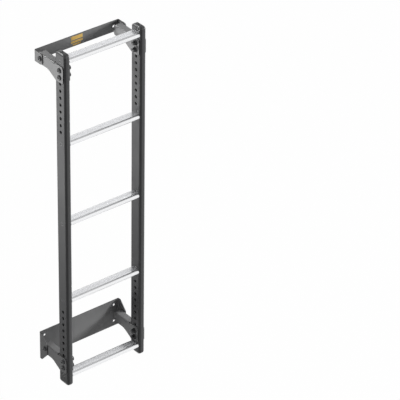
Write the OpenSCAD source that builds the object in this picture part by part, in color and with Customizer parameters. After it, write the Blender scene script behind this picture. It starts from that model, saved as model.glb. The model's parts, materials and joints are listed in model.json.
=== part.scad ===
// Ladder for the rear door of a van: five flat treads between two hollow stiles.
// Four folded arms straddle the stiles and two folded plates swivel on their ends.
// Millimetres. X runs along the treads, +Y points at the door and +Z is up.
// The origin is the centre of the lower plate's back face.

/* [Ladder] */
// Height from one tread to the next
rung_pitch = 300; // [280:1:320]
// Distance between the centre lines of the two stiles
stile_spacing = 301; // [260:1:420]
// Stile above the axis of the top tread
stile_above = 20; // [16:1:60]
// Stile below the axis of the bottom tread
stile_below = 26; // [16:1:60]

/* [Stiles] */
// Width of the stile, seen from the front
stile_w = 23; // [20:0.5:32]
// Depth of the stile, from front to back
stile_d = 48; // [42:1:70]
// Wall of the stile
stile_wall = 2.5; // [1.8:0.1:3]
// Outer radius of the two front corners
stile_front_r = 8; // [4:0.5:9]
// Outer radius of the two back corners
stile_back_r = 3; // [2.5:0.5:8]

/* [Stile holes] */
// Diameter of a hole in the stile's rows
row_hole_d = 11; // [10.5:0.1:12]
// Distance from hole to hole along a row
row_pitch = 25; // [22:1:26]
// Number of holes in a row
row_count = 10; // [4:1:10]
// First hole of the top row, below the top tread's axis
top_row_drop = 31; // [28:1:45]
// Last hole of the bottom row, above the bottom tread's axis
bottom_row_rise = 30; // [28:1:45]

/* [Treads] */
// Depth of a tread, from front nose to back nose
rung_d = 40; // [34:1:46]
// Height of a tread's section
rung_h = 18; // [16:0.5:22]
// Wall of a tread's hollow section
rung_wall = 2; // [1.6:0.1:2.5]
// Width of the solid rib that holds the end screws
port_w = 14; // [12:0.5:15]
// Distance between the grooves in the tread's top
groove_pitch = 2.6; // [2.2:0.1:3.5]
// Width of a groove
groove_w = 1.1; // [0.6:0.1:1.3]
// Depth of a groove
groove_depth = 0.7; // [0.3:0.1:0.9]

/* [End caps] */
// Height of a cap outside the stile
cap_h = 11; // [8:0.5:16]
// How far in from each side the cap is rounded
cap_side_round = 9.5; // [5:0.5:9.5]
// How far in from each end the cap is rounded
cap_end_round = 17; // [8:0.5:20]
// Depth of the cap's plug inside the stile
plug_len = 14; // [8:1:20]
// Wall of the cap's hollow plug
plug_wall = 2; // [1.5:0.1:3]
// Diameter of the small recess in the middle of a cap
cap_dimple_d = 6; // [3:0.5:8]
// Depth of that recess
cap_dimple_depth = 2.5; // [1:0.5:4]

/* [Folded sheet] */
// Thickness of the arms' and plates' sheet
sheet = 2.5; // [2:0.1:3]
// Radius inside a fold
fold_r = 2; // [1:0.5:3]

/* [Arms] */
// Pivot axis behind the stiles' centre line
arm_reach = 99; // [90:1:140]
// Arm above its upper bolt and the pivot
arm_top = 17; // [16:0.5:20]
// Arm below the pivot, at its back end
arm_under = 20; // [18:0.5:22]
// Arm below its lower bolt
arm_bottom = 17; // [14:0.5:19]
// Arm in front of its bolts
arm_front = 18; // [14:0.5:20]
// Arm behind the pivot
arm_tail = 14; // [12:0.5:18]
// Web's back end behind the pivot
web_tail = 11; // [6:0.5:12]
// Slope of the arm's lower edge
arm_slope = 29; // [24:1:40]
// Lower end of the slope in front of the stile's back face
slope_lap = 4; // [2:0.5:8]
// Radius that blends the slope into the back end
arm_blend_r = 45; // [20:1:60]
// Radius of the arm's upper front corner
arm_corner_r = 11; // [5:0.5:14]
// Radius of the arm's lower corners
arm_toe_r = 8; // [4:0.5:12]
// Width of the relief notch at the web's front end
notch_w = 7; // [4:0.5:9]
// Depth of the relief notch
notch_depth = 5; // [4:0.5:9]

/* [Plates] */
// Height of the upper plate
upper_plate_h = 40; // [34:1:60]
// Height of the lower plate
lower_plate_h = 105; // [90:1:140]
// Pivot axis in front of a plate's back face
pivot_offset = 31; // [28:0.5:40]
// Plate's end flange in front of the pivot axis
flange_front = 12; // [10:0.5:16]
// Radius of the upper flange's front corners
flange_corner_r = 10; // [4:0.5:11]
// Height of the lower flange's front edge
flange_nose_h = 40; // [30:1:60]
// Full-height stretch of the lower flange, from the back face
flange_deep = 14; // [10:0.5:20]
// Radius of the lower flange's two tips
flange_tip_r = 7; // [3:0.5:8]
// Radius of the two corners at the lower flange's front edge
flange_nose_r = 5; // [2:0.5:8]
// Diameter of a fixing hole
fix_hole_d = 9; // [6:0.5:11]
// Distance between the left and right fixing holes
fix_hole_spacing = 293; // [200:1:300]
// Distance between the lower plate's upper and lower holes
fix_hole_rise = 66; // [50:1:80]

/* [Fasteners] */
// Thread diameter of the bolts
bolt_d = 10; // [8:0.5:10]
// Diameter of a bolt's round head
head_d = 17.5; // [16:0.5:19]
// Height of that head
head_h = 5; // [4:0.5:6]
// Height of the head's straight rim
head_rim = 1; // [0.6:0.1:1.5]
// Width across the flats of the socket in the head
key_af = 6; // [5:0.5:6.5]
// Depth of that socket
key_depth = 2.5; // [1.5:0.5:3]
// Width across the flats of a nut
hex_af = 15; // [13:0.5:16]
// Diameter of the flange under a nut
collar_d = 20; // [18:0.5:22]
// Height of the flange's flat rim
collar_rim = 1.2; // [0.8:0.1:2]
// Height of a nut with its flange
nut_h = 12; // [9:0.5:12.5]
// Bolt end that stands out of its nut
bolt_end = 1; // [0.5:0.5:3]
// Thread diameter of a tread screw
screw_d = 8; // [6:0.5:8]
// Width across the flats of the tread screw's socket
socket_af = 5; // [4:0.5:6]
// Depth of that socket
socket_depth = 3; // [2:0.5:4]
// Head diameter of a tread screw
screw_head_d = 15; // [13:0.5:17]
// Tread screw's length inside the tread
screw_grip = 28; // [15:1:60]

/* [Clearances] */
// Gap between the stile and each cheek of an arm
cheek_gap = 0.1; // [0.05:0.05:0.5]
// Gap on each side of a plate's flange
swivel_gap = 0.2; // [0.1:0.05:0.5]
// Gap round a bolt in its bore or nut
bore_gap = 0.05; // [0.02:0.01:0.1]
// Gap round a bolt in the arms' clearance holes
hole_gap = 0.25; // [0.1:0.05:0.5]
// Gap round the plug in the stile
plug_gap = 0.15; // [0.1:0.05:0.4]

/* [Hidden] */
$fn = 48;
past = 1;
arc_steps = 8;
rung_count = 5;
least_r = 0.5;
dome_shares = [0, 0.4, 0.7, 0.9, 1];
left = -1;
right = 1;

// Places, from the lower pivot up
stile_y = -pivot_offset - arm_reach;
bottom_rung_z = -bottom_row_rise - row_pitch;
top_rung_z = bottom_rung_z + (rung_count - 1) * rung_pitch;
lower_pivot_z = 0;
upper_pivot_z = top_rung_z - top_row_drop;
stile_top_z = top_rung_z + stile_above;
stile_bottom_z = bottom_rung_z - stile_below;

// Widths, from the stile outwards
rung_len = stile_spacing - stile_w;
cheek_in = stile_w / 2 + cheek_gap;
cheek_out = cheek_in + sheet;
flange_in = cheek_out + swivel_gap;
flange_out = flange_in + sheet;
plate_half = stile_spacing / 2 + flange_out;
flange_depth = pivot_offset + flange_front;

// Arm, measured forwards from the pivot axis
web_end = arm_reach - stile_d / 2 - notch_w;
arm_end = arm_reach + arm_front;
arm_low = row_pitch + arm_bottom;
slope_run = (arm_low - arm_under) / tan(arm_slope);
slope_end = arm_reach - stile_d / 2 + slope_lap;
slope_start = slope_end - slope_run;

// Outline with each corner rounded to its own radius, where 0 keeps it sharp
function rounded(corners, radii) = [
    for (i = [0 : len(corners) - 1])
        each corner_arc(corners[(i + len(corners) - 1) % len(corners)], corners[i],
            corners[(i + 1) % len(corners)], radii[i])];

// Points of the arc that is tangent to both sides of one corner
function corner_arc(before, corner, after, r) =
    let (
        back = (before - corner) / norm(before - corner),
        ahead = (after - corner) / norm(after - corner),
        half = acos(back * ahead) / 2,
        middle = corner + (back + ahead) / norm(back + ahead) * r / sin(half),
        from = corner + back * r / tan(half) - middle,
        turn = sign(back.x * ahead.y - back.y * ahead.x) * (2 * half - 180))
    r == 0 ? [corner] : [
        for (step = [0 : arc_steps])
            let (a = turn * step / arc_steps)
            middle + [from.x * cos(a) - from.y * sin(a), from.x * sin(a) + from.y * cos(a)]];

// Height of a tread, counted from the top
function rung_z(number) = top_rung_z - (number - 1) * rung_pitch;

// Diameter over the corners of a hexagon
function over_corners(across_flats) = across_flats / cos(30);

// Places what follows on one stile, with +X outwards from the ladder
module at_stile(side) {
    translate([side * stile_spacing / 2, stile_y, 0])
        mirror([side < 0 ? 1 : 0, 0, 0])
            children();
}

// Places what follows on one arm's pivot axis, with +X outwards
module at_pivot(side, pivot_z) {
    at_stile(side) translate([0, arm_reach, pivot_z]) children();
}

// Turns a flat outline drawn in Y and Z into a slab between two X places
module slab_x(from_x, to_x) {
    translate([from_x, 0, 0]) rotate([90, 0, 90]) linear_extrude(to_x - from_x) children();
}

// Round bar or bore along X
module bar_x(from_x, to_x, d) {
    translate([from_x, 0, 0]) rotate([0, 90, 0]) cylinder(h = to_x - from_x, d = d);
}

// Stile's section, drawn inset by one distance on every side
module stile_section(inset = 0) {
    w = stile_w - 2 * inset;
    d = stile_d - 2 * inset;
    front_r = max(stile_front_r - inset, least_r);
    back_r = max(stile_back_r - inset, least_r);
    translate([-w / 2, front_r - d / 2]) square([w, d - front_r - back_r]);
    translate([front_r - w / 2, -d / 2]) square([w - 2 * front_r, d / 2]);
    translate([back_r - w / 2, 0]) square([w - 2 * back_r, d / 2]);
    for (x = [-1, 1]) {
        translate([x * (w / 2 - front_r), front_r - d / 2]) circle(r = front_r);
        translate([x * (w / 2 - back_r), d / 2 - back_r]) circle(r = back_r);
    }
}

// One stile: hollow section, two rows of holes, countersunk seats for the tread screws
module stile(side) {
    color("#3a3b3e") at_stile(side) difference() {
        translate([0, 0, stile_bottom_z])
            linear_extrude(stile_top_z - stile_bottom_z) stile_section();
        translate([0, 0, stile_bottom_z - past])
            linear_extrude(stile_top_z - stile_bottom_z + 2 * past) stile_section(stile_wall);
        for (hole = [0 : row_count - 1]) {
            translate([0, 0, top_rung_z - top_row_drop - hole * row_pitch])
                bar_x(-stile_w / 2 - past, stile_w / 2 + past, row_hole_d);
            translate([0, 0, bottom_rung_z + bottom_row_rise + hole * row_pitch])
                bar_x(-stile_w / 2 - past, stile_w / 2 + past, row_hole_d);
        }
        for (number = [1 : rung_count]) translate([0, 0, rung_z(number)]) {
            bar_x(-stile_w / 2 - past, stile_w / 2 + past, screw_d + 2 * hole_gap);
            countersink(hole_gap);
        }
    }
}

// Cone of a countersunk head whose flat side lies in the stile's outer face
module countersink(gap) {
    cone_h = (screw_head_d - screw_d) / 2;
    translate([stile_w / 2 - cone_h, 0, 0]) rotate([0, 90, 0])
        cylinder(h = cone_h, d1 = screw_d + 2 * gap, d2 = screw_head_d + 2 * gap);
}

// Solid of the cap outside the stile, arched both ways, drawn upwards from the stile's end
module cap_dome() {
    steps = 8;
    layer = 0.01;
    hull() for (step = [0 : steps]) {
        turn = 90 * step / steps;
        side_scale = 1 - 2 * cap_side_round * (1 - cos(turn)) / stile_w;
        end_scale = 1 - 2 * cap_end_round * (1 - cos(turn)) / stile_d;
        translate([0, 0, (cap_h - layer) * sin(turn)]) linear_extrude(layer)
            scale([side_scale, end_scale]) stile_section($fn = 28);
    }
}

// One moulded end cap: rounded dome outside, hollow plug inside the stile
module cap(side, end_z, up) {
    color("#232426") at_stile(side) translate([0, 0, end_z]) mirror([0, 0, up < 0 ? 1 : 0])
        difference() {
            union() {
                cap_dome();
                translate([0, 0, -plug_len]) linear_extrude(plug_len)
                    stile_section(stile_wall + plug_gap);
            }
            translate([0, 0, -plug_len - past]) linear_extrude(plug_len + past)
                stile_section(stile_wall + plug_gap + plug_wall);
            translate([0, 0, cap_h - cap_dimple_depth])
                cylinder(h = cap_dimple_depth + past, d = cap_dimple_d);
        }
}

// Tread's section: round noses, grooved top, two hollows beside the screw port
module rung_section() {
    nose_r = rung_h / 2;
    flat = rung_d - rung_h;
    grooves = floor((flat / 2 - groove_w) / groove_pitch);
    difference() {
        round_bar_section(nose_r, flat);
        difference() {
            round_bar_section(nose_r - rung_wall, flat);
            square([port_w, rung_h], center = true);
        }
        circle(d = screw_d + 2 * bore_gap);
        for (groove = [-grooves : grooves])
            translate([groove * groove_pitch - groove_w / 2, nose_r - groove_depth])
                square([groove_w, groove_depth + past]);
        for (x = [-1, 1])
            translate([x * (flat / 2 + groove_w) - groove_w / 2, nose_r - 2 * groove_depth])
                square([groove_w, 2 * groove_depth + past]);
    }
}

// Flat bar with two round edges
module round_bar_section(r, flat) {
    square([flat, 2 * r], center = true);
    for (x = [-flat / 2, flat / 2]) translate([x, 0]) circle(r = r);
}

// One extruded tread between the two stiles
module rung(number) {
    color("#cfd1d6") translate([0, stile_y, rung_z(number)])
        slab_x(-rung_len / 2, rung_len / 2) rung_section();
}

// The five countersunk screws that hold the treads to one stile
module rung_screws(side) {
    color("#2c2d30") at_stile(side)
        for (number = [1 : rung_count]) translate([0, 0, rung_z(number)]) difference() {
            union() {
                countersink(0);
                bar_x(-stile_w / 2 - screw_grip, stile_w / 2 - past, screw_d);
            }
            translate([stile_w / 2 - socket_depth, 0, 0]) rotate([0, 90, 0])
                cylinder(h = socket_depth + past, d = over_corners(socket_af), $fn = 6);
        }
}

// Side outline of an arm in Y and Z, with the pivot at its origin
module arm_side() {
    polygon(rounded(
        [[arm_tail, arm_top], [-arm_end, arm_top], [-arm_end, -arm_low],
            [-slope_end, -arm_low], [-slope_start, -arm_under], [arm_tail, -arm_under]],
        [arm_toe_r, arm_corner_r, arm_toe_r, arm_toe_r, arm_blend_r, arm_toe_r]));
}

// Channel's section in X and Z, open below and rounded at the top
module channel_section(half_w, top, corner_r) {
    below = 2 * arm_low;
    translate([-half_w, -below]) square([2 * half_w, below + top - corner_r]);
    translate([corner_r - half_w, -below]) square([2 * (half_w - corner_r), below + top]);
    for (x = [-1, 1]) translate([x * (half_w - corner_r), top - corner_r]) circle(r = corner_r);
}

// Turns a section drawn in X and Z into a bar between two places along Y
module bar_y(from_y, to_y) {
    translate([0, to_y, 0]) rotate([90, 0, 0]) linear_extrude(to_y - from_y) children();
}

// One arm: sheet folded into a channel whose two cheeks run on past the stile
module arm(side, pivot_z, shade) {
    color(shade) at_pivot(side, pivot_z) difference() {
        slab_x(-cheek_out, cheek_out) arm_side();
        // Outer round of the two folds, back to the web's front end
        difference() {
            bar_y(-web_end, arm_tail + past)
                translate([-cheek_out - past, arm_top - fold_r - sheet])
                    square([2 * (cheek_out + past), fold_r + sheet + past]);
            bar_y(-web_end - past, arm_tail + 2 * past)
                channel_section(cheek_out, arm_top, fold_r + sheet);
        }
        // Room between the cheeks, under the web and past its two ends
        bar_y(-arm_end - past, arm_tail + past)
            channel_section(cheek_in, arm_top - sheet, fold_r);
        bar_y(-arm_end - past, -web_end)
            translate([-cheek_in, -2 * arm_low]) square([2 * cheek_in, 3 * arm_low]);
        bar_y(web_tail, arm_tail + past)
            translate([-cheek_in, -2 * arm_low]) square([2 * cheek_in, 3 * arm_low]);
        // Relief notch at the end of the folds
        translate([0, -web_end - notch_w / 2, arm_top - notch_depth + notch_w / 2])
            bar_x(-cheek_out - past, cheek_out + past, notch_w);
        slab_x(-cheek_out - past, cheek_out + past)
            translate([-web_end - notch_w, arm_top - notch_depth + notch_w / 2])
                square([notch_w, notch_depth]);
        // Bores for the stile bolts, and for the pivot in the outer cheek
        for (drop = [0, row_pitch]) translate([0, -arm_reach, -drop])
            bar_x(-cheek_out - past, cheek_out + past, bolt_d + 2 * hole_gap);
        bar_x(0, cheek_out + past, bolt_d + 2 * bore_gap);
    }
}

// Bolt along X with a low domed head: its seat is at seat_x, its head points to +X
module button_bolt(seat_x, end_x) {
    difference() {
        union() {
            bar_x(end_x, seat_x + past, bolt_d);
            translate([seat_x, 0, 0]) rotate([0, 90, 0]) button_head();
        }
        translate([seat_x + head_h - key_depth, 0, 0]) rotate([0, 90, 0])
            cylinder(h = key_depth + past, d = over_corners(key_af), $fn = 6);
    }
}

// Domed head standing on Z: a straight rim, then cones up to a flat round the socket
module button_head() {
    top_d = over_corners(key_af) + 2 * least_r;
    dome_h = head_h - head_rim;
    heights = [for (share = dome_shares) head_rim + share * dome_h];
    diameters = [for (share = dome_shares) top_d + (head_d - top_d) * sqrt(1 - share * share)];
    cylinder(h = head_rim, d = head_d);
    for (step = [0 : len(dome_shares) - 2]) translate([0, 0, heights[step]])
        cylinder(h = heights[step + 1] - heights[step], d1 = diameters[step], d2 = diameters[step + 1]);
}

// Hexagon with a coned flange and a chamfered top, standing on Z
module nut_block() {
    corner_d = over_corners(hex_af);
    chamfer = (corner_d - hex_af) / 2;
    cone_h = (collar_d - hex_af) / 4;
    bevel_lap = 0.2;
    cylinder(h = collar_rim, d = collar_d);
    translate([0, 0, collar_rim]) cylinder(h = cone_h, d1 = collar_d, d2 = hex_af);
    intersection() {
        cylinder(h = nut_h, d = corner_d, $fn = 6);
        union() {
            cylinder(h = nut_h - chamfer, d = corner_d + past);
            translate([0, 0, nut_h - chamfer])
                cylinder(h = chamfer, d1 = corner_d + bevel_lap, d2 = hex_af - 2 * bevel_lap);
        }
    }
}

// Flange nut along X: its seat is at seat_x, it points to -X
module flange_nut(seat_x) {
    difference() {
        translate([seat_x, 0, 0]) rotate([0, -90, 0]) nut_block();
        bar_x(seat_x - nut_h - past, seat_x + past, bolt_d + 2 * bore_gap);
    }
}

// The two bolts that hold one arm on its stile
module arm_bolts(side, pivot_z) {
    color("#1d1e20") at_pivot(side, pivot_z) for (drop = [0, row_pitch])
        translate([0, -arm_reach, -drop])
            button_bolt(cheek_out, -cheek_out - nut_h - bolt_end);
}

// The two nuts on those bolts, against the inner cheek
module arm_nuts(side, pivot_z) {
    color("#1d1e20") at_pivot(side, pivot_z) for (drop = [0, row_pitch])
        translate([0, -arm_reach, -drop]) flange_nut(-cheek_out);
}

// The bolt that a plate's flange swivels on
module pivot_bolt(side, pivot_z) {
    color("#1d1e20") at_pivot(side, pivot_z)
        button_bolt(flange_out + swivel_gap, cheek_in - nut_h - bolt_end);
}

// The nut on that bolt, inside the arm
module pivot_nut(side, pivot_z) {
    color("#1d1e20") at_pivot(side, pivot_z) flange_nut(cheek_in);
}

// Plate and its two end flanges seen from above, with the back face on Y = 0
module plate_plan() {
    outer_r = fold_r + sheet;
    difference() {
        plate_plan_solid(plate_half, 0, outer_r);
        plate_plan_solid(plate_half - sheet, -sheet, fold_r, past);
    }
}

module plate_plan_solid(half_w, back_y, corner_r, extra = 0) {
    depth = flange_depth + back_y + extra;
    translate([-half_w, back_y - depth]) square([2 * half_w, depth - corner_r]);
    translate([corner_r - half_w, back_y - depth]) square([2 * (half_w - corner_r), depth]);
    for (x = [-1, 1]) translate([x * (half_w - corner_r), back_y - corner_r]) circle(r = corner_r);
}

// Side outline of the upper plate in Y and Z: flanges with round front corners
module upper_plate_side() {
    half_h = upper_plate_h / 2;
    polygon(rounded([[past, half_h], [-flange_depth, half_h], [-flange_depth, -half_h], [past, -half_h]],
        [0, flange_corner_r, flange_corner_r, 0]));
}

// Side outline of the lower plate in Y and Z: flanges that taper to the front
module lower_plate_side() {
    half_h = lower_plate_h / 2;
    half_nose = flange_nose_h / 2;
    polygon(rounded(
        [[past, half_h], [-flange_deep, half_h], [-flange_depth, half_nose],
            [-flange_depth, -half_nose], [-flange_deep, -half_h], [past, -half_h]],
        [0, flange_tip_r, flange_nose_r, flange_nose_r, flange_tip_r, 0]));
}

// Bores that both plates have: one pivot in each flange, and the fixing holes
module plate_bores(rises) {
    for (side = [left, right]) translate([side * stile_spacing / 2, -pivot_offset, 0])
        mirror([side < 0 ? 1 : 0, 0, 0])
            bar_x(flange_in - past, flange_out + past, bolt_d + 2 * bore_gap);
    for (x = [-1, 1], z = rises) translate([x * fix_hole_spacing / 2, 0, z])
        rotate([90, 0, 0]) translate([0, 0, -past]) cylinder(h = sheet + 2 * past, d = fix_hole_d);
}

// Upper plate, low and wide, with one hole near each end
module upper_plate() {
    color("#55565a") translate([0, 0, upper_pivot_z]) difference() {
        intersection() {
            translate([0, 0, -upper_plate_h / 2]) linear_extrude(upper_plate_h) plate_plan();
            slab_x(-plate_half - past, plate_half + past) upper_plate_side();
        }
        plate_bores([0]);
    }
}

// Lower plate, tall, with four holes
module lower_plate() {
    color("#4b4c50") translate([0, 0, lower_pivot_z]) difference() {
        intersection() {
            translate([0, 0, -lower_plate_h / 2]) linear_extrude(lower_plate_h) plate_plan();
            slab_x(-plate_half - past, plate_half + past) lower_plate_side();
        }
        plate_bores([-fix_hole_rise / 2, fix_hole_rise / 2]);
    }
}

stile(left);  // left_stile
stile(right);  // right_stile
cap(left, stile_top_z, 1);  // left_top_cap
cap(left, stile_bottom_z, -1);  // left_bottom_cap
cap(right, stile_top_z, 1);  // right_top_cap
cap(right, stile_bottom_z, -1);  // right_bottom_cap
rung(1);  // rung_1
rung(2);  // rung_2
rung(3);  // rung_3
rung(4);  // rung_4
rung(5);  // rung_5
rung_screws(left);  // left_rung_screws
rung_screws(right);  // right_rung_screws
arm(left, upper_pivot_z, "#6c6d70");  // upper_left_arm
arm(right, upper_pivot_z, "#6c6d70");  // upper_right_arm
arm(left, lower_pivot_z, "#4b4c50");  // lower_left_arm
arm(right, lower_pivot_z, "#4b4c50");  // lower_right_arm
arm_bolts(left, upper_pivot_z);  // upper_left_arm_bolts
arm_bolts(right, upper_pivot_z);  // upper_right_arm_bolts
arm_bolts(left, lower_pivot_z);  // lower_left_arm_bolts
arm_bolts(right, lower_pivot_z);  // lower_right_arm_bolts
arm_nuts(left, upper_pivot_z);  // upper_left_arm_nuts
arm_nuts(right, upper_pivot_z);  // upper_right_arm_nuts
arm_nuts(left, lower_pivot_z);  // lower_left_arm_nuts
arm_nuts(right, lower_pivot_z);  // lower_right_arm_nuts
upper_plate();
lower_plate();
pivot_bolt(left, upper_pivot_z);  // upper_left_pivot_bolt
pivot_bolt(right, upper_pivot_z);  // upper_right_pivot_bolt
pivot_bolt(left, lower_pivot_z);  // lower_left_pivot_bolt
pivot_bolt(right, lower_pivot_z);  // lower_right_pivot_bolt
pivot_nut(left, upper_pivot_z);  // upper_left_pivot_nut
pivot_nut(right, upper_pivot_z);  // upper_right_pivot_nut
pivot_nut(left, lower_pivot_z);  // lower_left_pivot_nut
pivot_nut(right, lower_pivot_z);  // lower_right_pivot_nut
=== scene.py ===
import json
import math

import bmesh
import bpy
from mathutils import Matrix, Vector


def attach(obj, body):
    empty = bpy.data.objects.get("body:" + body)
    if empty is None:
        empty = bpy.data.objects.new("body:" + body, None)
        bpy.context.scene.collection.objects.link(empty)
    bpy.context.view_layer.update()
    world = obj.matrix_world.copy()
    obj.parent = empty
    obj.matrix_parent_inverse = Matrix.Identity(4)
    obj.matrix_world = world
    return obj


# Van door ladder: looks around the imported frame. Metres, X along the treads, +Y at the door.
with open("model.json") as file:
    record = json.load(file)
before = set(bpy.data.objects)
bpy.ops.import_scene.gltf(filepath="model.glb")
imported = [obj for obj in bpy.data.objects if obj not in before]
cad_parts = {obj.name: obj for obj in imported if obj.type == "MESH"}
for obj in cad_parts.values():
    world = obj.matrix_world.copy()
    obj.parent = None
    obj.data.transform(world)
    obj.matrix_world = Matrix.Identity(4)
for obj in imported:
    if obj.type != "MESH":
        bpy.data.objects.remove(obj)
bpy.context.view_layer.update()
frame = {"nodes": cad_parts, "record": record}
nodes = frame["nodes"]
print("frame loaded with", len(nodes), "nodes")


# Camera: long lens from the left front, looking down on the ladder
viewPoint = {
    "place": (-4.642843, -6.260506, 5.389644),
    "azimuth": -39.52,
    "elevation": 32.03673,
    "roll": 1.03976,
    "lens": 250.51,
    "clipEnd": 80,
}


def addCamera(v):
    azimuth, elevation, roll = (math.radians(v[k]) for k in ("azimuth", "elevation", "roll"))
    back = Vector((
        math.sin(azimuth) * math.cos(elevation),
        -math.cos(azimuth) * math.cos(elevation),
        math.sin(elevation),
    ))
    level = (-back).cross(Vector((0, 0, 1))).normalized()
    upright = level.cross(-back)
    across = math.cos(roll) * level + math.sin(roll) * upright
    up = math.cos(roll) * upright - math.sin(roll) * level
    data = bpy.data.cameras.new("ladderCamera")
    data.lens = v["lens"]
    data.sensor_width = 36
    data.clip_end = v["clipEnd"]
    camera = bpy.data.objects.new("ladderCamera", data)
    bpy.context.scene.collection.objects.link(camera)
    camera.location = v["place"]
    camera.rotation_euler = Matrix((across, up, back)).transposed().to_euler()
    bpy.context.scene.camera = camera


addCamera(viewPoint)
print("camera placed")


# Studio: white room, floor well under the ladder, gridded boxes behind left, plain ones at the right and above
studio = {
    "floorZ": -2.3,
    "floorSize": 60,
    "floorWhite": 0.8,
    "floorGlow": 0.99,
    "fill": 0.10,
    "ceilingFrom": 0.56,
    "ceilingFull": 0.74,
    "ceilingTone": 0.5,
}
softBoxes = {
    "lowLeftBox": {"place": (-3.34, 2.91, -1.57), "aim": (0, -0.1, 1.75), "size": (0.9, 0.9), "watts": 3.35, "spread": 30},
    "highLeftBox": {"place": (-1.85, 2.3, 2.9), "aim": (0, -0.1, 1.25), "size": (0.7, 0.7), "watts": 2.4, "spread": 34},
    "rightBox": {"place": (5.4, -2.5, 1.95), "aim": (0, -0.1, 0.55), "size": (1.3, 1.3), "watts": 295, "spread": 180},
    "topBox": {"place": (0.2, 0.5, 3.2), "aim": (0, 0, 0.6), "size": (1.4, 1.4), "watts": 2.5, "spread": 180},
}


def seenDirectly(tree):
    path = tree.nodes.new("ShaderNodeLightPath")
    mask = path.outputs["Is Camera Ray"]
    for other in ("Is Glossy Ray", "Is Transmission Ray"):
        both = tree.nodes.new("ShaderNodeMath")
        both.operation = "MAXIMUM"
        tree.links.new(mask, both.inputs[0])
        tree.links.new(path.outputs[other], both.inputs[1])
        mask = both.outputs[0]
    return mask


def buildWorld(s):
    world = bpy.data.worlds.new("whiteRoom")
    bpy.context.scene.world = world
    world.use_nodes = True
    tree = world.node_tree
    tree.nodes.clear()
    room = tree.nodes.new("ShaderNodeBackground")
    sight = tree.nodes.new("ShaderNodeTexCoord")
    height = tree.nodes.new("ShaderNodeSeparateXYZ")
    tree.links.new(sight.outputs["Generated"], height.inputs[0])
    ceiling = tree.nodes.new("ShaderNodeMapRange")
    tree.links.new(height.outputs["Z"], ceiling.inputs["Value"])
    ceiling.inputs["From Min"].default_value = s["ceilingFrom"]
    ceiling.inputs["From Max"].default_value = s["ceilingFull"]
    ceiling.inputs["To Min"].default_value = 1
    ceiling.inputs["To Max"].default_value = s["ceilingTone"]
    tree.links.new(ceiling.outputs["Result"], room.inputs["Color"])
    room.inputs["Strength"].default_value = 1
    fill = tree.nodes.new("ShaderNodeBackground")
    fill.inputs["Color"].default_value = (1, 1, 1, 1)
    fill.inputs["Strength"].default_value = s["fill"]
    mix = tree.nodes.new("ShaderNodeMixShader")
    out = tree.nodes.new("ShaderNodeOutputWorld")
    tree.links.new(seenDirectly(tree), mix.inputs[0])
    tree.links.new(fill.outputs[0], mix.inputs[1])
    tree.links.new(room.outputs[0], mix.inputs[2])
    tree.links.new(mix.outputs[0], out.inputs["Surface"])


def buildFloor(s):
    bpy.ops.object.select_all(action="DESELECT")
    bpy.ops.mesh.primitive_plane_add(size=s["floorSize"], location=(0, 0, s["floorZ"]))
    floor = bpy.context.object
    floor.name = "studioFloor"
    paint = bpy.data.materials.new("paleFloor")
    paint.use_nodes = True
    paint.cycles.emission_sampling = "NONE"
    tree = paint.node_tree
    tree.nodes.clear()
    matt = tree.nodes.new("ShaderNodeBsdfDiffuse")
    matt.inputs["Color"].default_value = (s["floorWhite"], s["floorWhite"], s["floorWhite"], 1)
    glow = tree.nodes.new("ShaderNodeEmission")
    glow.inputs["Strength"].default_value = 1
    share = tree.nodes.new("ShaderNodeMath")
    share.operation = "MULTIPLY"
    share.inputs[1].default_value = s["floorGlow"]
    mix = tree.nodes.new("ShaderNodeMixShader")
    out = tree.nodes.new("ShaderNodeOutputMaterial")
    tree.links.new(seenDirectly(tree), share.inputs[0])
    tree.links.new(share.outputs[0], mix.inputs[0])
    tree.links.new(matt.outputs[0], mix.inputs[1])
    tree.links.new(glow.outputs[0], mix.inputs[2])
    tree.links.new(mix.outputs[0], out.inputs["Surface"])
    floor.data.materials.append(paint)


def addSoftBox(name, box):
    data = bpy.data.lights.new(name, "AREA")
    data.shape = "RECTANGLE"
    data.size, data.size_y = box["size"]
    data.energy = box["watts"]
    data.spread = math.radians(box["spread"])
    lamp = bpy.data.objects.new(name, data)
    bpy.context.scene.collection.objects.link(lamp)
    lamp.location = box["place"]
    toAim = Vector(box["aim"]) - Vector(box["place"])
    lamp.rotation_euler = toAim.to_track_quat("-Z", "Y").to_euler()


bpy.context.scene.view_settings.view_transform = "Standard"
buildWorld(studio)
buildFloor(studio)
for boxName, box in softBoxes.items():
    addSoftBox(boxName, box)
print("studio built")


# Shared effects, one node group each
def newGroup(name, inputs, outputs):
    group = bpy.data.node_groups.new(name, "ShaderNodeTree")
    for label, kind, value in inputs:
        socket = group.interface.new_socket(name=label, in_out="INPUT", socket_type=kind)
        if value is not None:
            socket.default_value = value
    for label, kind in outputs:
        group.interface.new_socket(name=label, in_out="OUTPUT", socket_type=kind)
    return group, group.nodes.new("NodeGroupInput"), group.nodes.new("NodeGroupOutput")


def mathNode(tree, operation, first, second=None, clamp=False):
    node = tree.nodes.new("ShaderNodeMath")
    node.operation = operation
    node.use_clamp = clamp
    for place, value in ((0, first), (1, second)):
        if value is None:
            continue
        if isinstance(value, (int, float)):
            node.inputs[place].default_value = value
        else:
            tree.links.new(value, node.inputs[place])
    return node.outputs[0]


def noiseNode(tree, vector, scale, detail=2.0, rough=0.5):
    node = tree.nodes.new("ShaderNodeTexNoise")
    node.inputs["Detail"].default_value = detail
    node.inputs["Roughness"].default_value = rough
    tree.links.new(vector, node.inputs["Vector"])
    if isinstance(scale, (int, float)):
        node.inputs["Scale"].default_value = scale
    else:
        tree.links.new(scale, node.inputs["Scale"])
    return node.outputs["Fac"]


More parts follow.
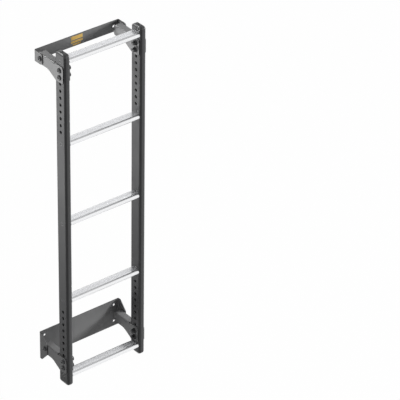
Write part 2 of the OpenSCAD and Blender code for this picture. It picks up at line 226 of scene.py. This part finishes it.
def rangeNode(tree, value, low, high, toLow=0.0, toHigh=1.0):
    node = tree.nodes.new("ShaderNodeMapRange")
    tree.links.new(value, node.inputs["Value"])
    for label, number in (("From Min", low), ("From Max", high), ("To Min", toLow), ("To Max", toHigh)):
        if isinstance(number, (int, float)):
            node.inputs[label].default_value = number
        else:
            tree.links.new(number, node.inputs[label])
    return node.outputs["Result"]


# Orange peel of baked powder, with soft patches where the coat is thicker
def buildPowderGrain():
    group, given, made = newGroup(
        "powderGrain",
        [("Vector", "NodeSocketVector", None), ("Grain", "NodeSocketFloat", 700.0)],
        [("Height", "NodeSocketFloat"), ("Patch", "NodeSocketFloat")],
    )
    vector, grain = given.outputs["Vector"], given.outputs["Grain"]
    peel = noiseNode(group, vector, grain, 1.0, 0.4)
    speck = noiseNode(group, vector, mathNode(group, "MULTIPLY", grain, 3.1), 2.0, 0.6)
    height = mathNode(group, "ADD", mathNode(group, "MULTIPLY", peel, 0.7), mathNode(group, "MULTIPLY", speck, 0.3))
    group.links.new(height, made.inputs["Height"])
    patch = rangeNode(group, noiseNode(group, vector, 7.0, 5.0, 0.6), 0.32, 0.68)
    group.links.new(patch, made.inputs["Patch"])
    return group


# Edges that catch the light: a rounded normal, and a broken mask of rubbed paint that also lightens the edges as a
# painted edge highlight
def buildSoftEdge():
    group, given, made = newGroup(
        "softEdge",
        [
            ("Vector", "NodeSocketVector", None),
            ("Radius", "NodeSocketFloat", 0.0008),
            ("RubAndSheen", "NodeSocketFloat", 0.5),
        ],
        [("Normal", "NodeSocketVector"), ("WearAndSheen", "NodeSocketFloat")],
    )
    bevel = group.nodes.new("ShaderNodeBevel")
    bevel.samples = 6
    group.links.new(given.outputs["Radius"], bevel.inputs["Radius"])
    geometry = group.nodes.new("ShaderNodeNewGeometry")
    facing = group.nodes.new("ShaderNodeVectorMath")
    facing.operation = "DOT_PRODUCT"
    group.links.new(bevel.outputs["Normal"], facing.inputs[0])
    group.links.new(geometry.outputs["Normal"], facing.inputs[1])
    edge = rangeNode(group, facing.outputs["Value"], 0.995, 0.85)
    broken = rangeNode(group, noiseNode(group, given.outputs["Vector"], 90.0, 4.0, 0.65), 0.35, 0.62)
    # Lighter edge mask: rubbed paint, and partly a painted edge highlight
    wearAndSheen = mathNode(group, "MULTIPLY", mathNode(group, "MULTIPLY", edge, broken), given.outputs["RubAndSheen"], True)
    group.links.new(bevel.outputs["Normal"], made.inputs["Normal"])
    group.links.new(wearAndSheen, made.inputs["WearAndSheen"])
    return group


# Fine lines that the die leaves along an extrusion, with a few longer scuffs
def buildDrawLines():
    group, given, made = newGroup(
        "drawLines",
        [("Vector", "NodeSocketVector", None), ("Lines", "NodeSocketFloat", 1400.0)],
        [("Height", "NodeSocketFloat"), ("Streak", "NodeSocketFloat"), ("Scuff", "NodeSocketFloat")],
    )
    stretch = group.nodes.new("ShaderNodeVectorMath")
    stretch.operation = "MULTIPLY"
    stretch.inputs[1].default_value = (0.006, 1, 1)
    group.links.new(given.outputs["Vector"], stretch.inputs[0])
    fine = noiseNode(group, stretch.outputs[0], given.outputs["Lines"], 2.0, 0.6)
    broad = noiseNode(group, stretch.outputs[0], 160.0, 3.0, 0.5)
    group.links.new(fine, made.inputs["Height"])
    group.links.new(rangeNode(group, broad, 0.35, 0.65), made.inputs["Streak"])
    scuff = noiseNode(group, given.outputs["Vector"], 46.0, 6.0, 0.7)
    group.links.new(rangeNode(group, scuff, 0.58, 0.74), made.inputs["Scuff"])
    return group


# Folded sheet: painted shade on its forward-facing cut edges, and on its flat top and bottom edges where Tops is set,
# and its folds, where it is stretched smooth
def buildFoldedSheet():
    group, given, made = newGroup(
        "foldedSheet",
        [("Vector", "NodeSocketVector", None), ("Tops", "NodeSocketFloat", 0.0)],
        [("PaintedEdgeShade", "NodeSocketFloat"), ("Fold", "NodeSocketFloat")],
    )
    place = group.nodes.new("ShaderNodeSeparateXYZ")
    group.links.new(given.outputs["Vector"], place.inputs[0])
    facing = group.nodes.new("ShaderNodeSeparateXYZ")
    group.links.new(group.nodes.new("ShaderNodeTexCoord").outputs["Normal"], facing.inputs[0])
    # Painted shade: forward-facing faces ahead of the door plane, and flat top and bottom faces when Tops is set, are
    # marked for a dark colour
    forward = mathNode(group, "LESS_THAN", facing.outputs["Y"], -0.8)
    ahead = mathNode(group, "LESS_THAN", place.outputs["Y"], -0.01)
    upward = mathNode(group, "GREATER_THAN", mathNode(group, "ABSOLUTE", facing.outputs["Z"]), 0.8)
    tops = mathNode(group, "MULTIPLY", upward, given.outputs["Tops"])
    paintedEdgeShade = mathNode(group, "MAXIMUM", mathNode(group, "MULTIPLY", forward, ahead), tops)
    group.links.new(paintedEdgeShade, made.inputs["PaintedEdgeShade"])
    sideways = mathNode(group, "ABSOLUTE", facing.outputs["X"])
    bend = mathNode(group, "MINIMUM", sideways, facing.outputs["Z"])
    group.links.new(rangeNode(group, bend, 0.2, 0.45), made.inputs["Fold"])
    return group


powderGrain = buildPowderGrain()
softEdge = buildSoftEdge()
foldedSheet = buildFoldedSheet()
drawLines = buildDrawLines()
print("shared effects built")


def newFinish(name):
    paint = bpy.data.materials.new(name)
    paint.use_nodes = True
    tree = paint.node_tree
    tree.nodes.clear()
    out = tree.nodes.new("ShaderNodeOutputMaterial")
    shader = tree.nodes.new("ShaderNodeBsdfPrincipled")
    tree.links.new(shader.outputs[0], out.inputs["Surface"])
    place = tree.nodes.new("ShaderNodeTexCoord").outputs["Object"]
    return paint, tree, shader, place


def placeGroup(tree, group, vector, values):
    node = tree.nodes.new("ShaderNodeGroup")
    node.node_tree = group
    tree.links.new(vector, node.inputs["Vector"])
    for label, value in values.items():
        node.inputs[label].default_value = value
    return node


def mixColour(tree, factor, first, second):
    node = tree.nodes.new("ShaderNodeMix")
    node.data_type = "RGBA"
    tree.links.new(factor, node.inputs[0])
    for place, value in ((6, first), (7, second)):
        if isinstance(value, tuple):
            node.inputs[place].default_value = (*value, 1)
        else:
            tree.links.new(value, node.inputs[place])
    return node.outputs[2]


def bumpNode(tree, height, depth, normal=None):
    node = tree.nodes.new("ShaderNodeBump")
    node.inputs["Strength"].default_value = 1
    node.inputs["Distance"].default_value = depth
    tree.links.new(height, node.inputs["Height"])
    if normal is not None:
        tree.links.new(normal, node.inputs["Normal"])
    return node.outputs["Normal"]


# Baked powder on the stiles, arms and plates
coats = {
    "stile_coat": {
        "colour": (0.116, 0.117, 0.12), "thick": (0.128, 0.129, 0.132), "rubbedAndSheen": (0.24, 0.24, 0.245),
        "roughness": 0.4, "gloss": 0.16, "grain": 620.0, "depth": 0.00007, "edge": 0.0009, "rubAndSheen": 0.3,
    },
    # arm_coat is written lighter than plate_coat, though both are the same paint: painted light on the arms
    "arm_coat": {
        "colour": (0.365, 0.366, 0.369), "thick": (0.39, 0.391, 0.394), "rubbedAndSheen": (0.42, 0.42, 0.425),
        "roughness": 0.4, "gloss": 0.2, "grain": 760.0, "depth": 0.00007, "edge": 0.0008, "rubAndSheen": 0.4,
        # dark edge colour below: painted shade on the arm's forward cut edges
        "paintedEdgeShade": (0.03, 0.03, 0.031), "paintedShadeTops": 0.0, "foldSmooth": 0.13, "foldGloss": 0.42,
    },
    "plate_coat": {
        "colour": (0.275, 0.276, 0.279), "thick": (0.3, 0.301, 0.304), "rubbedAndSheen": (0.42, 0.42, 0.425),
        "roughness": 0.4, "gloss": 0.2, "grain": 760.0, "depth": 0.00007, "edge": 0.0008, "rubAndSheen": 0.4,
        # dark edge colour below: painted shade on the plate's forward cut edges and on its top and bottom edges
        "paintedEdgeShade": (0.03, 0.03, 0.031), "paintedShadeTops": 1.0, "foldSmooth": 0.13, "foldGloss": 0.42,
    },
}


def buildCoat(name, c):
    paint, tree, shader, place = newFinish(name)
    grain = placeGroup(tree, powderGrain, place, {"Grain": c["grain"]})
    edge = placeGroup(tree, softEdge, place, {"Radius": c["edge"], "RubAndSheen": c["rubAndSheen"]})
    ground = mixColour(tree, grain.outputs["Patch"], c["colour"], c["thick"])
    # Lighter edge colour: rubbed paint, and partly a painted edge highlight
    ground = mixColour(tree, edge.outputs["WearAndSheen"], ground, c["rubbedAndSheen"])
    rough = rangeNode(tree, grain.outputs["Patch"], 0, 1, c["roughness"] - 0.04, c["roughness"] + 0.05)
    shader.inputs["Specular IOR Level"].default_value = c["gloss"]
    # Painted shade: the marked sheet edges take the dark edge colour
    if "paintedEdgeShade" in c:
        sheet = placeGroup(tree, foldedSheet, place, {"Tops": c["paintedShadeTops"]})
        ground = mixColour(tree, sheet.outputs["PaintedEdgeShade"], ground, c["paintedEdgeShade"])
        rough = mathNode(tree, "SUBTRACT", rough, mathNode(tree, "MULTIPLY", sheet.outputs["Fold"], c["foldSmooth"]))
        gloss = rangeNode(tree, sheet.outputs["Fold"], 0, 1, c["gloss"], c["foldGloss"])
        tree.links.new(gloss, shader.inputs["Specular IOR Level"])
    tree.links.new(ground, shader.inputs["Base Color"])
    tree.links.new(rough, shader.inputs["Roughness"])
    normal = bumpNode(tree, grain.outputs["Height"], c["depth"], edge.outputs["Normal"])
    tree.links.new(normal, shader.inputs["Normal"])
    return paint


# Satin anodised extrusion
treadFinish = {
    "colour": (0.93, 0.935, 0.945), "streak": (0.89, 0.895, 0.91), "scuffed": (0.8, 0.8, 0.81),
    "metallic": 0.88, "roughness": 0.22, "lines": 1500.0, "depth": 0.000004,
}


def buildTread(name, t):
    paint, tree, shader, place = newFinish(name)
    lines = placeGroup(tree, drawLines, place, {"Lines": t["lines"]})
    ground = mixColour(tree, lines.outputs["Streak"], t["colour"], t["streak"])
    scuff = mathNode(tree, "MULTIPLY", lines.outputs["Scuff"], 0.12)
    tree.links.new(mixColour(tree, scuff, ground, t["scuffed"]), shader.inputs["Base Color"])
    shader.inputs["Metallic"].default_value = t["metallic"]
    rough = rangeNode(tree, lines.outputs["Streak"], 0, 1, t["roughness"] - 0.05, t["roughness"] + 0.06)
    tree.links.new(mathNode(tree, "ADD", rough, mathNode(tree, "MULTIPLY", scuff, 0.3)), shader.inputs["Roughness"])
    tree.links.new(bumpNode(tree, lines.outputs["Height"], t["depth"]), shader.inputs["Normal"])
    return paint


# Moulded caps
capFinish = {
    "colour": (0.075, 0.076, 0.078), "shine": (0.095, 0.096, 0.098), "rubbedAndSheen": (0.16, 0.16, 0.165),
    "roughness": 0.36, "grain": 1600.0, "depth": 0.00001, "edge": 0.0006,
}


def buildCap(name, c):
    paint, tree, shader, place = newFinish(name)
    grain = placeGroup(tree, powderGrain, place, {"Grain": c["grain"]})
    edge = placeGroup(tree, softEdge, place, {"Radius": c["edge"], "RubAndSheen": 0.35})
    ground = mixColour(tree, grain.outputs["Patch"], c["colour"], c["shine"])
    # Lighter edge colour: rubbed plastic, and partly a painted edge highlight
    tree.links.new(mixColour(tree, edge.outputs["WearAndSheen"], ground, c["rubbedAndSheen"]), shader.inputs["Base Color"])
    rough = rangeNode(tree, grain.outputs["Height"], 0.3, 0.7, c["roughness"] - 0.05, c["roughness"] + 0.08)
    tree.links.new(rough, shader.inputs["Roughness"])
    normal = bumpNode(tree, grain.outputs["Height"], c["depth"], edge.outputs["Normal"])
    tree.links.new(normal, shader.inputs["Normal"])
    return paint


# Blackened steel of the bolts, nuts and tread screws
steels = {
    "bolt_steel": {"colour": (0.055, 0.056, 0.058), "bare": (0.26, 0.26, 0.265), "metallic": 0.35, "roughness": 0.4, "rubAndSheen": 0.5},
    "screw_steel": {"colour": (0.085, 0.086, 0.088), "bare": (0.2, 0.2, 0.205), "metallic": 0.25, "roughness": 0.45, "rubAndSheen": 0.4},
}


def buildSteel(name, s):
    paint, tree, shader, place = newFinish(name)
    grain = placeGroup(tree, powderGrain, place, {"Grain": 2200.0})
    edge = placeGroup(tree, softEdge, place, {"Radius": 0.0005, "RubAndSheen": s["rubAndSheen"]})
    darker = tuple(0.8 * part for part in s["colour"])
    ground = mixColour(tree, grain.outputs["Height"], darker, s["colour"])
    # Lighter edge colour: steel rubbed bare, and partly a painted edge highlight
    tree.links.new(mixColour(tree, edge.outputs["WearAndSheen"], ground, s["bare"]), shader.inputs["Base Color"])
    shader.inputs["Metallic"].default_value = s["metallic"]
    rough = rangeNode(tree, grain.outputs["Height"], 0.3, 0.7, s["roughness"] - 0.08, s["roughness"] + 0.08)
    tree.links.new(rough, shader.inputs["Roughness"])
    normal = bumpNode(tree, grain.outputs["Height"], 0.00002, edge.outputs["Normal"])
    tree.links.new(normal, shader.inputs["Normal"])
    return paint


# Amber print on the upper plate
printFinish = {"colour": (0.95, 0.62, 0.16), "worn": (0.6, 0.42, 0.18), "roughness": 0.5}


def buildPrint(name, p):
    paint, tree, shader, place = newFinish(name)
    grain = placeGroup(tree, powderGrain, place, {"Grain": 900.0})
    chips = rangeNode(tree, noiseNode(tree, place, 420.0, 5.0, 0.7), 0.6, 0.7, 0.0, 0.7)
    tree.links.new(mixColour(tree, chips, p["colour"], p["worn"]), shader.inputs["Base Color"])
    rough = rangeNode(tree, grain.outputs["Patch"], 0, 1, p["roughness"] - 0.05, p["roughness"] + 0.05)
    tree.links.new(rough, shader.inputs["Roughness"])
    tree.links.new(bumpNode(tree, grain.outputs["Height"], 0.00005), shader.inputs["Normal"])
    return paint


finishes = {name: buildCoat(name, coat) for name, coat in coats.items()}
finishes["tread_aluminium"] = buildTread("tread_aluminium", treadFinish)
finishes["cap_plastic"] = buildCap("cap_plastic", capFinish)
for steelName, steel in steels.items():
    finishes[steelName] = buildSteel(steelName, steel)
amberPrint = buildPrint("amber_print", printFinish)

for part in frame["record"]["subparts"]:
    for holder in nodes[part["node"]].material_slots:
        holder.material = finishes[part["material_slot"]]
print("finishes on", len(finishes), "slots")


# New pieces, modelled as by hand
def startMesh():
    bpy.ops.object.select_all(action="DESELECT")


def pickFaces(piece, wanted):
    mesh = bmesh.from_edit_mesh(piece.data)
    for face in mesh.faces:
        face.select_set(False)
    for face in mesh.faces:
        if wanted(face):
            face.select_set(True)
    mesh.select_flush_mode()
    bmesh.update_edit_mesh(piece.data)


def pickEdges(piece, wanted):
    mesh = bmesh.from_edit_mesh(piece.data)
    for edge in mesh.edges:
        edge.select_set(False)
    for edge in mesh.edges:
        if wanted(edge):
            edge.select_set(True)
    bmesh.update_edit_mesh(piece.data)


def finishPiece(piece, body, paint):
    bpy.ops.object.select_all(action="DESELECT")
    piece.select_set(True)
    bpy.context.view_layer.objects.active = piece
    bpy.ops.object.transform_apply(location=True, rotation=True, scale=True)
    bpy.ops.object.shade_smooth_by_angle(angle=math.radians(35))
    piece.data.materials.clear()
    piece.data.materials.append(paint)
    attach(piece, body)


# Three plain amber bars in the middle of the upper plate
amberBars = {
    "middleX": -0.001,
    "bars": [("amber_bar_1", 1.1238, 0.046, 0.0130), ("amber_bar_2", 1.1100, 0.046, 0.0075), ("amber_bar_3", 1.1005, 0.034, 0.0050)],
    "thick": 0.0004,
    "sunk": 0.0001,
    "cornerR": 0.0012,
    "rimInset": 0.0003,
}


def buildAmberBars(a):
    faceY = -0.0025
    for name, height, length, tall in a["bars"]:
        startMesh()
        bpy.ops.mesh.primitive_cube_add(size=1, location=(a["middleX"], faceY - a["thick"] / 2 + a["sunk"], height))
        bar = bpy.context.object
        bar.name = name
        bar.scale = (length, a["thick"], tall)
        bpy.ops.object.transform_apply(location=False, rotation=False, scale=True)
        bpy.ops.object.mode_set(mode="EDIT")
        bpy.ops.mesh.select_mode(type="EDGE")
        pickEdges(bar, lambda e: abs((e.verts[0].co - e.verts[1].co).normalized().y) > 0.99)
        bpy.ops.mesh.bevel(offset=a["cornerR"], segments=6, profile=0.5, affect="EDGES")
        bpy.ops.mesh.select_mode(type="FACE")
        pickFaces(bar, lambda f: f.normal.y < -0.99)
        bpy.ops.mesh.inset(thickness=a["rimInset"], depth=0)
        bpy.ops.transform.translate(value=(0, -a["thick"] / 4, 0))
        bpy.ops.object.mode_set(mode="OBJECT")
        finishPiece(bar, "upper_plate_body", amberPrint)


buildAmberBars(amberBars)
print("amber bars printed")


# Threaded bolt ends that stand out of the arm nuts
boltEnd = {
    "seatX": 0.1246,
    "length": 0.0015,
    "radius": 0.00502,
    "rootDepth": 0.0004,
    "chamfer": 0.0004,
    "boltY": -0.130,
    "drops": (0, -0.025),
    "pivots": {"upper": 1.114, "lower": 0.0},
}


def buildBoltEnd(b):
    startMesh()
    bpy.ops.mesh.primitive_cylinder_add(vertices=32, radius=b["radius"], depth=b["length"], location=(0, 0, 0))
    end = bpy.context.object
    half = b["length"] / 2
    bpy.ops.object.mode_set(mode="EDIT")
    for step in range(1, 5):
        bpy.ops.mesh.select_all(action="SELECT")
        bpy.ops.mesh.bisect(plane_co=(0, 0, -half + step * b["length"] / 5.5), plane_no=(0, 0, 1))
    bpy.ops.mesh.select_mode(type="VERT")
    mesh = bmesh.from_edit_mesh(end.data)
    levels = sorted({round(v.co.z, 6) for v in mesh.verts})
    for index, level in enumerate(levels):
        if index % 2 == 1 and 0 < index < len(levels) - 1:
            for vertex in mesh.verts:
                vertex.select_set(abs(vertex.co.z - level) < 1e-6)
            mesh.select_flush(True)
            bmesh.update_edit_mesh(end.data)
            share = 1 - b["rootDepth"] / b["radius"]
            bpy.ops.transform.resize(value=(share, share, 1), center_override=(0, 0, level))
            mesh = bmesh.from_edit_mesh(end.data)
    bpy.ops.mesh.select_mode(type="EDGE")
    pickEdges(end, lambda e: all(v.co.z > half - 1e-6 for v in e.verts))
    bpy.ops.mesh.bevel(offset=b["chamfer"], segments=2, affect="EDGES")
    bpy.ops.object.mode_set(mode="OBJECT")
    return end


def placeBoltEnds(b):
    pattern = buildBoltEnd(b)
    for level, pivotZ in b["pivots"].items():
        for side, sign in (("left", -1), ("right", 1)):
            for number, drop in enumerate(b["drops"], 1):
                piece = pattern.copy()
                piece.data = pattern.data.copy()
                piece.name = f"{level}_{side}_bolt_end_{number}"
                bpy.context.scene.collection.objects.link(piece)
                piece.rotation_euler = (0, -sign * math.pi / 2, 0)
                piece.location = (sign * (b["seatX"] - b["length"] / 2), b["boltY"], pivotZ + drop)
                finishPiece(piece, "ladder", finishes["bolt_steel"])
    bpy.data.objects.remove(pattern)


placeBoltEnds(boltEnd)
print("bolt ends placed")
